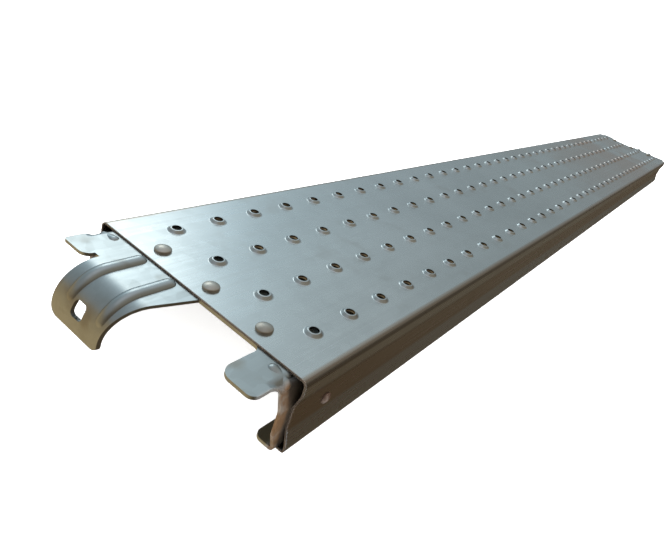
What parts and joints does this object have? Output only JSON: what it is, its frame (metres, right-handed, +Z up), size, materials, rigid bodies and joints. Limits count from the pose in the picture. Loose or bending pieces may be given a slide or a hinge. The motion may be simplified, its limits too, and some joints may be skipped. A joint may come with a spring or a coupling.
{
  "type": "steel scaffold plank",
  "caption": "Folded steel deck plank with raised pierced grip holes and a riveted pressed hook bracket at each end that hangs on a ledger tube.",
  "frame": {"origin": "under the middle of the plank, on the plane of the deck's bottom lips", "axes": "+X along the plank from the near hook to the far hook, +Y across it, +Z up through the tread"},
  "size_m": [1.958, 0.234, 0.073],
  "materials": {
    "deck_zinc": "galvanised strip, cold-formed, semi-gloss",
    "bracket_zinc": "galvanised pressing, semi-gloss with dull patches",
    "rivet_zinc": "zinc-plated, dull",
    "stiffener_zinc": "galvanised strip, matte",
    "weld": "bare weld bead, dull"
  },
  "bodies": {
    "root": {"deck_sheet": "deck_zinc", "end_bracket_near": "bracket_zinc", "deck_rivet_near_left": "rivet_zinc", "deck_rivet_near_centre": "rivet_zinc", "deck_rivet_near_right": "rivet_zinc", "side_rivet_near_left": "rivet_zinc", "side_rivet_near_right": "rivet_zinc", "end_bracket_far": "bracket_zinc", "deck_rivet_far_left": "rivet_zinc", "deck_rivet_far_centre": "rivet_zinc", "deck_rivet_far_right": "rivet_zinc", "side_rivet_far_left": "rivet_zinc", "side_rivet_far_right": "rivet_zinc", "stiffener_near": "stiffener_zinc", "stiffener_welds_near": "weld", "stiffener_middle": "stiffener_zinc", "stiffener_welds_middle": "weld", "stiffener_far": "stiffener_zinc", "stiffener_welds_far": "weld"}
  },
  "joints": []
}
